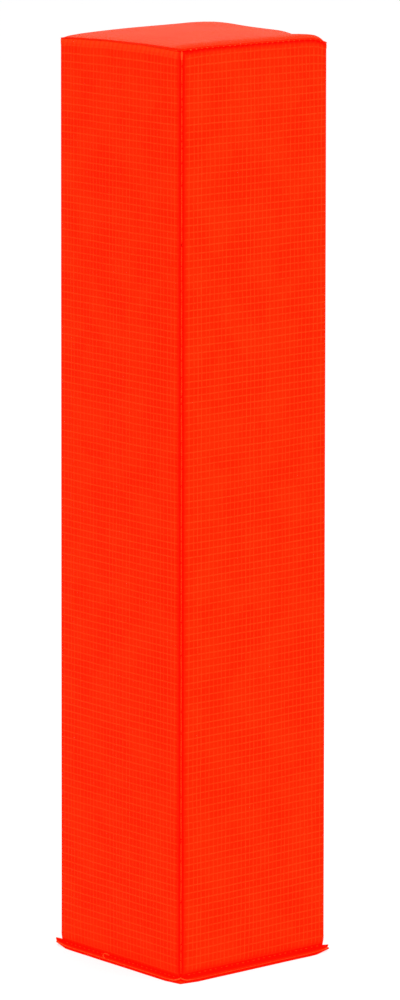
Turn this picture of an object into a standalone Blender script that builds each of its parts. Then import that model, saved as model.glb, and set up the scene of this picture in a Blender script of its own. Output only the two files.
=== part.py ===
"""A free-standing football field pylon: a sewn vinyl cover over foam, with a sand bag in its foot.

The cover is four side panels and a top, sewn inside out and then turned, so their seam allowances
stand inwards and the foam is pinched around them. The base panel is sewn on last, once the foam and
the sand bag are in, so its seam is a raw two-ply flange outside, drooping to the ground.
Metres, +Z up, with the origin on the ground in the middle of the foot.
"""

import math

import bmesh
import bpy
from mathutils import Vector

# Cover: the sizes that someone would change
BODY_WIDTH = 0.094
OVERALL_HEIGHT = 0.4572
VINYL = 0.0007
ALLOWANCE = 0.0065
SIDE_ROLL = 0.0011
SIDE_BELLY = 0.0006
BELLY_FLATNESS = 6
TOP_RISE = 0.0018
TOP_CROWN = 0.0008

# Closing seam at the foot
SEAM_HEIGHT = 0.0037
SEAM_DROOP = math.radians(27)
UPPER_REACH = 0.0020
LOWER_REACH = 0.0031
LIP_LIFT = 0.0001
FOOT_TURN = 0.0065
FOOT_CURVE = ((0.66, 0.2), (0.36, 0.8))
CORNER_REACH = 0.6

# Sand bag
BAG_HEIGHT = 0.085
BAG_CLOTH = 0.0005
BAG_EDGE = 0.009
BAG_TUCK = 0.005
BAG_TUCK_SPREAD = 0.006
BAG_TUCK_HEIGHT = 0.015
BAG_FRINGE = 0.0043

# Fits
CLEARANCE = 0.0003
CORNER_CELL = 0.003
FLAP_TRIM = 0.0015
SLIT_MOUTH = 0.0035
SLIT_TAPER = 0.005
OVERCUT = 0.001

# Facets
SIDE_COLUMNS = 6
SIDE_ROWS = 8
TOP_COLUMNS = 8
SIDE_TURN_STEPS = 3
TOP_TURN_STEPS = 4
BAG_CORNER_STEPS = 4
BAG_EDGE_STEPS = 3
BAG_TUCK_STEPS = 5
SHARP_ANGLE = math.radians(40)

# Worked out from the sizes above
HALF = BODY_WIDTH / 2
TOP_PLANE = OVERALL_HEIGHT - TOP_CROWN
TOP_SEAM = TOP_PLANE - TOP_RISE
TOP_ROLL = TOP_RISE / math.sqrt(2)
LINING = VINYL + CLEARANCE
FLANGE = VINYL + LINING
FLANGE_HEIGHT = FLANGE / math.cos(SEAM_DROOP)
SEAM_TURN = math.radians(135)
SEAM_DEPTH = SIDE_ROLL * (1 + math.sqrt(2)) + CLEARANCE / 2
FLAP_DEPTH = SEAM_DEPTH + ALLOWANCE + CLEARANCE
PLY_SHIFT = CLEARANCE / math.sqrt(2)
FLAP_STEP = ALLOWANCE / math.sqrt(2)
BAG_BOTTOM = LINING
BAG_TOP = BAG_BOTTOM + BAG_HEIGHT
BAG_HALF = HALF - LINING


def clear_scene():
    for obj in list(bpy.data.objects):
        bpy.data.objects.remove(obj)


def material(name, colour, roughness, specular=0.5):
    made = bpy.data.materials.new(name)
    made.use_nodes = True
    shader = made.node_tree.nodes["Principled BSDF"]
    shader.inputs["Base Color"].default_value = (*colour, 1)
    shader.inputs["Roughness"].default_value = roughness
    shader.inputs["Metallic"].default_value = 0
    shader.inputs["Specular IOR Level"].default_value = specular
    made.diffuse_color = (*colour, 1)
    return made


def mesh_from(bm, name, surface):
    mesh = bpy.data.meshes.new(name)
    bm.to_mesh(mesh)
    bm.free()
    mesh.materials.append(surface)
    mesh.shade_smooth()
    mesh.set_sharp_from_angle(angle=SHARP_ANGLE)
    return mesh


def place(name, mesh, location=(0, 0, 0), rotation=(0, 0, 0)):
    obj = bpy.data.objects.new(name, mesh)
    obj.location = location
    obj.rotation_euler = rotation
    bpy.context.scene.collection.objects.link(obj)
    return obj


def thicken(obj, thickness):
    """Gives a sheet its thickness, inwards from the face that shows."""
    solidify = obj.modifiers.new("thickness", "SOLIDIFY")
    solidify.thickness = thickness
    solidify.offset = -1
    solidify.use_even_offset = True
    solidify.use_quality_normals = True


def face_outwards(bm):
    """Turns an open sheet so that its face in the middle looks along +Z."""
    bmesh.ops.recalc_face_normals(bm, faces=bm.faces)
    middle = min(bm.faces, key=lambda face: face.calc_center_median().xy.length)
    if middle.normal.z < 0:
        bmesh.ops.reverse_faces(bm, faces=bm.faces)


def spaced(start, end, count):
    """Positions from start to end, with a short first and last step, where a panel turns its corners."""
    inner = end - start - 2 * CORNER_CELL
    middle = [start + CORNER_CELL + inner * k / (count - 2) for k in range(count - 1)]
    return [start, *middle, end]


def grid(bm, across, along, height):
    """A sheet of quads over the positions across and along, at height(x, y)."""
    verts = [[bm.verts.new((x, y, height(x, y))) for x in across] for y in along]
    for lower, upper in zip(verts, verts[1:]):
        join_paths(bm, lower, upper)
    return verts


def join_paths(bm, first, second, closed=False):
    """Quads between two paths of as many vertices."""
    count = len(first)
    for k in range(count if closed else count - 1):
        after = (k + 1) % count
        bm.faces.new((first[k], first[after], second[after], second[k]))


def side_path(verts):
    """The edge of a grid up its left side, along its top and down its right side.

    Each entry is a vertex with the way out of the sheet there, which is diagonal at a corner.
    """
    top = verts[-1]
    path = [(row[0], Vector((-1, 0, 0))) for row in verts[:-1]]
    path.append((top[0], Vector((-1, 1, 0))))
    path += [(vert, Vector((0, 1, 0))) for vert in top[1:-1]]
    path.append((top[-1], Vector((1, 1, 0))))
    path += [(row[-1], Vector((1, 0, 0))) for row in reversed(verts[:-1])]
    return path


def ring_path(verts):
    """The whole edge of a grid, once round from its lower left corner."""
    path = side_path(verts)
    path[0] = (path[0][0], Vector((-1, -1, 0)))
    path[-1] = (path[-1][0], Vector((1, -1, 0)))
    path += [(vert, Vector((0, -1, 0))) for vert in reversed(verts[0][1:-1])]
    return path


def edge_start(roll, rise):
    """How far inside the edge of the body a panel's flat stops, for its edge to roll into the seam."""
    return roll * (1 + math.sqrt(2)) - rise + PLY_SHIFT


def roll_edge(bm, path, roll, steps, closed):
    """Rolls a panel's edge round and down into the seam. The last strip of vertices is the seam line."""
    last = [vert for vert, way in path]
    strips = [last]
    for step in range(1, steps + 1):
        angle = SEAM_TURN * step / steps
        out = roll * math.sin(angle)
        drop = Vector((0, 0, roll * (1 - math.cos(angle))))
        strip = [bm.verts.new(vert.co + way * out - drop) for vert, way in path]
        join_paths(bm, last, strip, closed)
        strips.append(strip)
        last = strip
    return strips


def flap(bm, edge, way, slant_first=True, slant_last=True):
    """The seam allowance along one edge, turned in at 45 degrees and clipped clear of the corners."""
    edge = edge[1:-1]
    along = (edge[-1].co - edge[0].co).normalized()
    slant = along * (FLAP_STEP + FLAP_TRIM - CORNER_CELL)
    step = -way * FLAP_STEP - Vector((0, 0, FLAP_STEP))
    moved = [vert.co + step for vert in edge]
    if slant_first:
        moved[0] += slant
    if slant_last:
        moved[-1] -= slant
    join_paths(bm, edge, [bm.verts.new(point) for point in moved])


def belly(across, height):
    """How far the foam pushes a side panel out, none at its edges."""
    inset = edge_start(SIDE_ROLL, 0)
    top = TOP_SEAM - inset
    middle = (top + SEAM_HEIGHT) / 2
    width_share = across / (HALF - inset)
    height_share = (height - middle) / (top - middle)
    return SIDE_BELLY * max(0, 1 - width_share**2) * max(0, 1 - height_share**BELLY_FLATNESS)


def side_rows():
    """The heights at which a side panel and the foam behind it are faceted."""
    return spaced(SEAM_HEIGHT, TOP_SEAM - edge_start(SIDE_ROLL, 0), SIDE_ROWS)


def side_mesh(surface):
    """A side panel, upright in its own XY plane and facing +Z, with Y measured from the ground."""
    bm = bmesh.new()
    inset = edge_start(SIDE_ROLL, 0)
    half = HALF - inset
    verts = grid(bm, spaced(-half, half, SIDE_COLUMNS), side_rows(), belly)
    strips = roll_edge(bm, side_path(verts), SIDE_ROLL, SIDE_TURN_STEPS, closed=False)
    for strip in strips[1:]:
        for end in (strip[0], strip[-1]):
            end.co.y -= end.co.z * math.tan(SEAM_DROOP)
    seam = strips[-1]
    corner = SIDE_ROWS
    far_corner = SIDE_ROWS + SIDE_COLUMNS
    flap(bm, seam[: corner + 1], Vector((-1, 0, 0)), slant_first=False)
    flap(bm, seam[corner : far_corner + 1], Vector((0, 1, 0)))
    flap(bm, seam[far_corner:], Vector((1, 0, 0)), slant_last=False)

    foot = [strip[0] for strip in reversed(strips)]
    foot += verts[0][1:]
    foot += [strip[-1] for strip in strips[1:]]
    flange = [bm.verts.new(flange_edge(vert.co.x, k, len(foot) - 1)) for k, vert in enumerate(foot)]
    join_paths(bm, foot, flange)
    face_outwards(bm)
    return mesh_from(bm, "side_panel", surface)


def flange_edge(across, k, count):
    """The raw edge of a side panel at the foot, turned outwards and down over the base panel's.

    The vertices of the rolled edges, first and last on the foot, fan out into its drawn-in corners.
    """
    from_end = min(k, count - k)
    fan = max(0, 1 - from_end / SIDE_TURN_STEPS)
    reach = UPPER_REACH * (1 - (1 - CORNER_REACH) * fan)
    if fan:
        flat_end = HALF - edge_start(SIDE_ROLL, 0)
        corner = HALF + reach - LINING
        across = math.copysign(flat_end + (corner - flat_end) * fan, across)
    return (across, underside(reach) + FLANGE_HEIGHT, reach)


def side_panels(surface):
    mesh = side_mesh(surface)
    for turn, name in enumerate(("front_panel", "right_panel", "back_panel", "left_panel")):
        angle = turn * math.pi / 2
        location = (HALF * math.sin(angle), -HALF * math.cos(angle), 0)
        thicken(place(name, mesh, location, (math.pi / 2, 0, angle)), VINYL)


def crown(across, along, half):
    """How far the middle of the top stands above its rolled edges."""
    return TOP_CROWN * (1 - (across / half) ** 2) * (1 - (along / half) ** 2)


def top_panel(surface):
    bm = bmesh.new()
    half = HALF - edge_start(TOP_ROLL, TOP_RISE)
    columns = spaced(-half, half, TOP_COLUMNS)
    verts = grid(bm, columns, columns, lambda x, y: crown(x, y, half))
    strips = roll_edge(bm, ring_path(verts), TOP_ROLL, TOP_TURN_STEPS, closed=True)
    seam = strips[-1] + strips[-1][:1]
    ways = (Vector((-1, 0, 0)), Vector((0, 1, 0)), Vector((1, 0, 0)), Vector((0, -1, 0)))
    for side, way in enumerate(ways):
        edge = seam[side * TOP_COLUMNS : (side + 1) * TOP_COLUMNS + 1]
        flap(bm, edge, way)
    face_outwards(bm)
    obj = place("top_panel", mesh_from(bm, "top_panel", surface), (0, 0, TOP_PLANE))
    thicken(obj, VINYL)


def underside(reach):
    """Height of the closing seam's lower ply above the ground, at a reach past the body."""
    return max(SEAM_HEIGHT - reach * math.tan(SEAM_DROOP) - FLANGE_HEIGHT, LIP_LIFT)


def base_panel(surface):
    """Flat on the ground, turned up to the closing seam round its edge, and down again outside.

    Its profile is (reach past the body, height of the underside) pairs.
    """
    bm = bmesh.new()
    half = HALF - FOOT_TURN
    columns = spaced(-half, half, TOP_COLUMNS)
    verts = grid(bm, columns, columns, lambda x, y: 0)
    path = ring_path(verts)
    ridge = -FLANGE * math.sin(SEAM_DROOP)
    ridge_height = underside(ridge)
    lip_start = (ridge_height - LIP_LIFT) / math.tan(SEAM_DROOP) + ridge
    lip_start = min(lip_start, UPPER_REACH)
    profile = [(-FOOT_TURN * reach, ridge_height * rise) for reach, rise in FOOT_CURVE]
    profile += [(reach, underside(reach)) for reach in (ridge, lip_start / 2, lip_start)]
    profile.append((LOWER_REACH, LIP_LIFT))
    last = [vert for vert, way in path]
    for reach, height in profile:
        strip = []
        for vert, way in path:
            at_corner = way.x and way.y and reach > 0
            here = reach * (CORNER_REACH if at_corner else 1)
            level = underside(here) if at_corner else height
            strip.append(bm.verts.new(vert.co + way * (FOOT_TURN + here) - Vector((0, 0, level))))
        join_paths(bm, last, strip, closed=True)
        last = strip
    face_outwards(bm)
    obj = place("base_panel", mesh_from(bm, "base_panel", surface), rotation=(math.pi, 0, 0))
    thicken(obj, VINYL)


def on_mitre(depth, above):
    """A (half width, height) pair at a depth in from the top seam, and so far above its 45 degree plane."""
    shift = 1 / math.sqrt(2)
    return (HALF - (depth + above) * shift, TOP_SEAM - (depth - above) * shift)


def foam_profile(half):
    """The foam's side as (half width, height) pairs, from the edge of its flat top down to the sand bag."""
    roll = TOP_ROLL - LINING
    profile = []
    for step in range(1, TOP_TURN_STEPS + 1):
        angle = SEAM_TURN * step / TOP_TURN_STEPS
        height = TOP_PLANE - LINING - roll * (1 - math.cos(angle))
        profile.append((half + roll * math.sin(angle), height))
    slit = LINING + CLEARANCE / 2
    profile.append(on_mitre(FLAP_DEPTH, slit))
    profile.append(on_mitre(FLAP_DEPTH, -slit))
    profile.append(on_mitre(SLIT_TAPER, -slit))
    top = TOP_SEAM - SLIT_MOUTH * math.sqrt(2)
    bottom = BAG_TOP + CLEARANCE
    rows = [height for height in reversed(side_rows()) if bottom < height < top]
    profile += [(HALF - LINING, height) for height in (top, *rows, bottom)]
    return profile


def foam_block(surface):
    """The foam inside the cover, above the sand bag, with the groove that the top's allowances press in."""
    bm = bmesh.new()
    half = HALF - edge_start(TOP_ROLL, TOP_RISE)
    columns = spaced(-half, half, SIDE_COLUMNS)
    verts = grid(bm, columns, columns, lambda x, y: TOP_PLANE - LINING + crown(x, y, half))
    path = ring_path(verts)
    last = [vert for vert, way in path]
    for width, height in foam_profile(half):
        strip = []
        for vert, way in path:
            at = vert.co.xy / half * width
            if height < TOP_SEAM and not (way.x and way.y):
                across = at.y if way.x else at.x
                at += way.xy * belly(across, height)
            strip.append(bm.verts.new((at.x, at.y, height)))
        join_paths(bm, last, strip, closed=True)
        last = strip
    bm.faces.new(last)
    bmesh.ops.recalc_face_normals(bm, faces=bm.faces)
    return place("foam_core", mesh_from(bm, "foam_core", surface))


def corner_slit(turn):
    """A cutter for the slit that the seam allowances of two side panels press into a corner of the foam."""
    slit = LINING + CLEARANCE / 2
    bottom = BAG_TOP - OVERCUT
    top = TOP_SEAM - SIDE_ROLL
    outline = (
        (-SLIT_MOUTH, 2 * SLIT_MOUTH),
        (0, SLIT_MOUTH),
        (SLIT_TAPER, slit),
        (FLAP_DEPTH, slit),
    )
    half_outline = [Vector((-depth, width, bottom)) for depth, width in outline]
    other_half = [Vector((point.x, -point.y, bottom)) for point in reversed(half_outline)]
    bm = bmesh.new()
    base = bm.faces.new([bm.verts.new(point) for point in half_outline + other_half])
    raised = bmesh.ops.extrude_face_region(bm, geom=[base])["geom"]
    lifted = [item for item in raised if isinstance(item, bmesh.types.BMVert)]
    bmesh.ops.translate(bm, verts=lifted, vec=(0, 0, top - bottom))
    bmesh.ops.recalc_face_normals(bm, faces=bm.faces)
    name = f"corner_slit_{turn}"
    mesh = bpy.data.meshes.new(name)
    bm.to_mesh(mesh)
    bm.free()
    angle = math.pi / 4 + turn * math.pi / 2
    reach = HALF * math.sqrt(2)
    location = (reach * math.cos(angle), reach * math.sin(angle), 0)
    cutter = place(name, mesh, location, (0, 0, angle))
    cutter.hide_render = True
    cutter.display_type = "WIRE"
    return cutter


def cut(obj, cutter):
    boolean = obj.modifiers.new(cutter.name, "BOOLEAN")
    boolean.operation = "DIFFERENCE"
    boolean.solver = "EXACT"
    boolean.object = cutter


def foam_core(surface):
    foam = foam_block(surface)
    for turn in range(4):
        cut(foam, corner_slit(turn))


def bag_corner_radius():
    """Large enough for the filled bag to lie inside the seam allowances at the corners."""
    return (FLAP_DEPTH - LINING * math.sqrt(2)) / (math.sqrt(2) - 1)


def rounded_square(half, inset):
    """Points round a square of this half width, whose corners shrink with its inset from the bag's wall."""
    radius = max(bag_corner_radius() - inset, BAG_CLOTH)
    points = []
    for turn in range(4):
        for step in range(BAG_CORNER_STEPS + 1):
            angle = math.pi / 2 * (turn + step / BAG_CORNER_STEPS)
            centre_angle = math.pi / 2 * turn + math.pi / 4
            centre = (half - radius) * math.sqrt(2)
            x = centre * math.cos(centre_angle) + radius * math.cos(angle)
            y = centre * math.sin(centre_angle) + radius * math.sin(angle)
            points.append((x, y))
    return points


def bag_profile(inset):
    """The lower half of the bag as (half width, height) pairs, from the flat up to the sewn rim.

    The height is measured down from the rim, and inset is how far inside the bag's outer face.
    """
    bottom = -BAG_HEIGHT / 2
    wall = BAG_HALF - inset
    edge = BAG_EDGE - inset
    profile = []
    for step in range(BAG_EDGE_STEPS + 1):
        angle = math.pi / 2 * step / BAG_EDGE_STEPS
        height = bottom + inset + edge * (1 - math.cos(angle))
        profile.append((wall - edge + edge * math.sin(angle), height))
    rim = -(BAG_CLOTH + CLEARANCE / 2)
    for step in range(BAG_TUCK_STEPS + 1):
        height = -BAG_TUCK_HEIGHT + (rim + BAG_TUCK_HEIGHT) * step / BAG_TUCK_STEPS
        tuck = BAG_TUCK * math.exp(-((height / BAG_TUCK_SPREAD) ** 2))
        profile.append((wall - tuck, height))
    return profile


def loft(bm, profile):
    """Rounded square rings along a profile, with a flat cap on the first."""
    rings = []
    for half, height in profile:
        ring = rounded_square(half, BAG_HALF - half)
        rings.append([bm.verts.new((x, y, height)) for x, y in ring])
    for lower, upper in zip(rings, rings[1:]):
        join_paths(bm, lower, upper, closed=True)
    bm.faces.new(rings[0])
    return rings


def bag_cloths(surface):
    """Two cups of cloth, rim to rim, with their raw edges left standing out round the seam."""
    bm = bmesh.new()
    profile = bag_profile(0)
    seam_half, seam_height = profile[-1]
    profile.append((seam_half + BAG_FRINGE, seam_height))
    loft(bm, profile)
    bmesh.ops.recalc_face_normals(bm, faces=bm.faces)
    bottom = min(bm.faces, key=lambda face: face.calc_center_median().z)
    if bottom.normal.z > 0:
        bmesh.ops.reverse_faces(bm, faces=bm.faces)
    mesh = mesh_from(bm, "bag_cloth", surface)
    rim = BAG_BOTTOM + BAG_HEIGHT / 2
    thicken(place("ballast_bag_lower", mesh, (0, 0, rim)), BAG_CLOTH)
    thicken(place("ballast_bag_upper", mesh, (0, 0, rim), (math.pi, 0, 0)), BAG_CLOTH)


def ballast_sand(surface):
    """The sand, in the shape that the bag gives it."""
    bm = bmesh.new()
    inset = BAG_CLOTH + 2 * CLEARANCE
    lower = bag_profile(inset)
    upper = [(half, -height) for half, height in reversed(lower)]
    rings = loft(bm, lower + upper)
    bm.faces.new(rings[-1])
    bmesh.ops.recalc_face_normals(bm, faces=bm.faces)
    place("ballast_sand", mesh_from(bm, "ballast_sand", surface), (0, 0, BAG_BOTTOM + BAG_HEIGHT / 2))


def build():
    clear_scene()
    vinyl = material("orange_scrim_vinyl", (0.90, 0.028, 0.004), 0.5)
    foam = material("open_cell_foam", (0.80, 0.77, 0.66), 0.95, specular=0.2)
    cotton = material("unbleached_cotton", (0.62, 0.55, 0.42), 0.9, specular=0.2)
    sand = material("dry_sand", (0.45, 0.34, 0.21), 0.95, specular=0.3)
    side_panels(vinyl)
    top_panel(vinyl)
    base_panel(vinyl)
    foam_core(foam)
    bag_cloths(cotton)
    ballast_sand(sand)


build()
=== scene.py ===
"""The field pylon as it looks: scrim vinyl sewn over foam, with a sand bag inside its foot.

Metres, in the frame of the CAD model. A panel is made flat, with each vertex carrying its place on the
cut cloth, so that the weave follows the cloth round rolled edges and out along the seam allowances.
"""

import math
import random

import bmesh
import bpy
from mathutils import Matrix, Vector, noise


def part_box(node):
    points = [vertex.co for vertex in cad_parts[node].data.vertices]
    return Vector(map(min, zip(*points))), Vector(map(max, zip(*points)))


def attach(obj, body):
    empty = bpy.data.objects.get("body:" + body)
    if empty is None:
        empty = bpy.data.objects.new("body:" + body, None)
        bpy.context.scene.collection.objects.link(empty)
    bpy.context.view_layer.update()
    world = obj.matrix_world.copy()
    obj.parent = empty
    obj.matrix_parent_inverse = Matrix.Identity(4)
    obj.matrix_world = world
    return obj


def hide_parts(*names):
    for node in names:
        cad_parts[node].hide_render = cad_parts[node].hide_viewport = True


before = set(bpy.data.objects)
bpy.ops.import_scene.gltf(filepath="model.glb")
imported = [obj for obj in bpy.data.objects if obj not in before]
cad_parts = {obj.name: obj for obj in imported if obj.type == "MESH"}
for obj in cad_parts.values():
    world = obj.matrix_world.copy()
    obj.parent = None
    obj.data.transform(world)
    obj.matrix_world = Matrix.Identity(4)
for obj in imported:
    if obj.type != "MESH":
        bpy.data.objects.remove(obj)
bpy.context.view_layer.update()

MM = 0.001
MM_IN_METRE = 1000.0
ROOT_TWO = math.sqrt(2)

# Cover, as in the CAD
UPPER_REACH = 0.0020
HALF = -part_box("front_panel")[0].y - UPPER_REACH
TOP_CROWN = 0.0008
TOP_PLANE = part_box("top_panel")[1].z - TOP_CROWN
TOP_RISE = 0.0018
TOP_SEAM = TOP_PLANE - TOP_RISE
TOP_ROLL = TOP_RISE / ROOT_TWO
SIDE_ROLL = 0.0011
SEAM_TURN = math.radians(135)
CREASE_DEPTH = SIDE_ROLL * (1 - math.cos(SEAM_TURN))
PLY_GAP = 0.00006
ALLOWANCE = 0.0065
VINYL = 0.0006

# Foot, as (reach past the body, height) pairs in millimetres from the wall out to the cut edge
WALL_FOOT = 0.0085
FOOT_PROFILE = (
    (-0.05, 7.2), (-0.15, 6.1), (-0.35, 5.2), (-0.65, 4.5), (-0.95, 3.9), (-1.05, 3.45),
    (-0.75, 3.1), (-0.25, 2.8), (0.3, 2.5), (0.85, 2.2), (1.4, 1.9), (1.9, 1.6),
)
STITCH_ROW = 5
LOWER_PROFILE = (
    (-6.5, 0.0), (-4.6, 0.2), (-2.9, 0.65), (-1.7, 0.85), (-0.9, 0.8), (-0.1, 0.6),
    (0.9, 0.35), (1.8, 0.12), (2.65, 0.05),
)
BASE_INSET = -LOWER_PROFILE[0][0] * MM

# The body spreads a little from its top to its weighted foot
TOP_SPREAD = 0.9917
FOOT_SPREAD = 1.0093

# How full the sides are, and how deep and wide their dents
BELLY = 0.0006
BROAD_DENTS = (0.00018, 0.034)
SMALL_DENTS = (0.00010, 0.015)

# Inside, where the foam and the sand bag leave room for the cover and its seam allowances
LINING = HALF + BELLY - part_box("foam_core")[1].x
CLEARANCE = 0.0003
FLAP_DEPTH = SIDE_ROLL * (1 + ROOT_TWO) + ALLOWANCE + 1.5 * CLEARANCE
SLIT_HALF = LINING + CLEARANCE / 2
SLIT_MOUTH = 0.0035
SLIT_TAPER = 0.005
FOAM_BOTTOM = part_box("foam_core")[0].z
BAG_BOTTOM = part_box("ballast_bag_lower")[0].z
BAG_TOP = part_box("ballast_bag_upper")[1].z
BAG_RIM = (BAG_BOTTOM + BAG_TOP) / 2
BAG_HALF = HALF - LINING
BAG_CLOTH = 0.0005
BAG_EDGE = 0.009
BAG_CORNER = (FLAP_DEPTH - LINING * ROOT_TWO) / (ROOT_TWO - 1)
BAG_TUCK = 0.005
BAG_TUCK_SPREAD = 0.006
BAG_FRINGE = 0.0043
BAG_SAG = 0.0012
GATHER = 0.0011
GATHER_PITCH = 0.0085
GATHER_SPREAD = 0.011

# Weave of the scrim, in millimetres on the cloth
WEFT_PITCH = 3.42
WEFT_STRETCH = 4.5
WEFT_STRETCH_LENGTH = 45
WARP_PITCH = 2.54
WARP_SHARE = 0.82
WEFT_SHARE = 0.88
CROSSING = 0.35
VINYL_RELIEF = 0.00007
COTTON_PITCH = 0.9

# Stitches
STITCH_PITCH = 0.0035
STITCH_LENGTH = 0.0026
FOOT_STITCH_LENGTH = 0.0017
STITCH_RADIUS = 0.00026
THREAD_RADIUS = 0.00030
THREAD_SHOW = 0.0008
TOP_THREAD_SHOW = 0.0013
THREAD_WOBBLE = 0.00012
BEAD_INSIDE = 0.0001
BEAD_BELOW = 0.00065
TOP_CORES = (0.0004, 0.0004, 0.0006, 0.00055)
BEAD_LENGTH = 0.0014
BEAD_RADIUS = 0.00054

# Facets
FINE_COLUMNS = 80
COARSE_COLUMNS = 20
TOP_BAND = 0.012
FOOT_BAND = 0.010
BAND_STEP = 0.0013
WALL_STEP = 0.0085

# Colours
VINYL_DEEP = (0.90, 0.0116, 0.0004)
VINYL_PLAIN = (0.92, 0.0168, 0.0008)
VINYL_THREAD = (0.94, 0.0410, 0.0042)
# Painted shade, for creases, seams and edges under the flange
VINYL_SHADE = (0.90, 0.0012, 0.0001)
VINYL_EDGE = (0.95, 0.100, 0.020)
# The top's tones are painted lighter than the sides': painted light from above and painted sheen
LIT_TOP_DEEP = (0.90, 0.0270, 0.0036)
LIT_TOP_PLAIN = (0.92, 0.0350, 0.0052)
LIT_TOP_THREAD = (0.94, 0.0560, 0.0110)
# Painted shade where the top rolls down into its seams
TOP_RIM_SHADE = (0.92, 0.0200, 0.0014)
THREAD_DEEP = (0.92, 0.020, 0.002)
THREAD_PLAIN = (0.95, 0.046, 0.007)
BEAD_DEEP = (0.94, 0.040, 0.005)
BEAD_PLAIN = (0.96, 0.075, 0.014)
# A dark thread that stands for the shadow in a seam's crease: painted shade
SHADE_PLAIN = (0.90, 0.0030, 0.0003)
# The foot's thread, a darker copy of the sewing thread: painted shade at the foot
SHADED_FOOT_THREAD_DEEP = (0.92, 0.0180, 0.0015)
SHADED_FOOT_THREAD_PLAIN = (0.94, 0.0380, 0.0045)
SIDE_SPECULAR = 0.006
TOP_SPECULAR = 0.018

# Painted glow: a red emission in the creases, on cut edges and on threads, where little light reaches
PAINTED_GLOW = (0.9, 0.004, 0.0003)
PAINTED_GLOW_IN_CREASE = 0.42
PAINTED_GLOW_ON_EDGE = 0.22


class Value:
    """A number or colour that a material works out. A sum with it adds a node to the material."""

    def __init__(self, graph, socket):
        self.graph = graph
        self.socket = socket

    def __add__(self, other):
        return self.graph.maths("ADD", self, other)

    def __sub__(self, other):
        return self.graph.maths("SUBTRACT", self, other)

    def __mul__(self, other):
        return self.graph.maths("MULTIPLY", self, other)

    def __neg__(self):
        return self * -1.0

    def __abs__(self):
        return self.graph.maths("ABSOLUTE", self)


class Graph:
    """A material's nodes, made and linked one line at a time."""

    def __init__(self, name):
        self.material = bpy.data.materials.new(name)
        self.material.use_nodes = True
        self.tree = self.material.node_tree
        self.shader = self.tree.nodes["Principled BSDF"]

    def node(self, kind, inputs=(), **settings):
        made = self.tree.nodes.new(kind)
        for name, value in settings.items():
            setattr(made, name, value)
        for key, value in dict(inputs).items():
            self.feed(made.inputs[key], value)
        return made

    def feed(self, socket, value):
        if isinstance(value, Value):
            self.tree.links.new(value.socket, socket)
        elif isinstance(value, tuple):
            socket.default_value = (*value, 1)
        else:
            socket.default_value = value

    def out(self, node, key=0):
        return Value(self, node.outputs[key])

    def maths(self, operation, *values):
        return self.out(self.node("ShaderNodeMath", enumerate(values), operation=operation))

    def most(self, first, *others):
        for other in others:
            first = self.maths("MAXIMUM", first, other)
        return first

    def fade(self, value, start, end, low=0.0, high=1.0):
        """low where the value is at start, high at end, and smooth between."""
        inputs = {"Value": value, "From Min": start, "From Max": end, "To Min": low, "To Max": high}
        return self.out(self.node("ShaderNodeMapRange", inputs, interpolation_type="SMOOTHSTEP"))

    def blend(self, share, first, second):
        made = self.node("ShaderNodeMix", {0: share}, data_type="RGBA", clamp_factor=True)
        colours = [socket for socket in made.inputs if socket.type == "RGBA"]
        self.feed(colours[0], first)
        self.feed(colours[1], second)
        return Value(self, next(socket for socket in made.outputs if socket.type == "RGBA"))

    def noise(self, place, scale, detail=2.0, roughness=0.5):
        inputs = {"Vector": place, "Scale": scale, "Detail": detail, "Roughness": roughness}
        return self.out(self.node("ShaderNodeTexNoise", inputs), "Fac")

    def drift(self, place, scale, detail, size):
        """Smooth noise of this size, as often below zero as above."""
        return (self.noise(place, scale, detail) - 0.5) * size

    def chance(self, value, seed):
        """A number from 0 to 1 that stays the same for each whole value."""
        inputs = {"Vector": self.vector(value, seed)}
        return self.out(self.node("ShaderNodeTexWhiteNoise", inputs, noise_dimensions="2D"), "Value")

    def vector(self, x, y):
        return self.out(self.node("ShaderNodeCombineXYZ", {"X": x, "Y": y}))

    def object_place(self):
        return self.out(self.node("ShaderNodeTexCoord"), "Object")

    def bump(self, height, distance):
        made = self.node("ShaderNodeBump", {"Strength": 1.0, "Distance": distance, "Height": height})
        self.feed(self.shader.inputs["Normal"], self.out(made))

    def glow(self, strength):
        """Painted light: a red emission that keeps the coated cloth red where little else reaches it."""
        self.feed(self.shader.inputs["Emission Color"], PAINTED_GLOW)
        self.feed(self.shader.inputs["Emission Strength"], strength)

    def finish(self, colour, roughness, specular):
        self.feed(self.shader.inputs["Base Color"], colour)
        self.feed(self.shader.inputs["Roughness"], roughness)
        self.shader.inputs["Specular IOR Level"].default_value = specular
        return self.material


def cloth_place(graph):
    """The place on the cut cloth in millimetres, across and up."""
    uv = graph.out(graph.node("ShaderNodeUVMap", uv_map="cloth"))
    parts = graph.node("ShaderNodeSeparateXYZ", {0: uv})
    return graph.out(parts, 0) * MM_IN_METRE, graph.out(parts, 1) * MM_IN_METRE


def threads(graph, phase, pitch, half_width, jitter, seed):
    """Lines of thread across a phase that counts them, each with its own place, and their numbers."""
    index = graph.maths("FLOOR", phase)
    middle = graph.chance(index, seed) * (2 * jitter) + (0.5 - jitter)
    apart = abs(graph.maths("FRACT", phase) - middle) * pitch
    return graph.fade(apart, half_width, 0.12 * half_width), index


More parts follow.
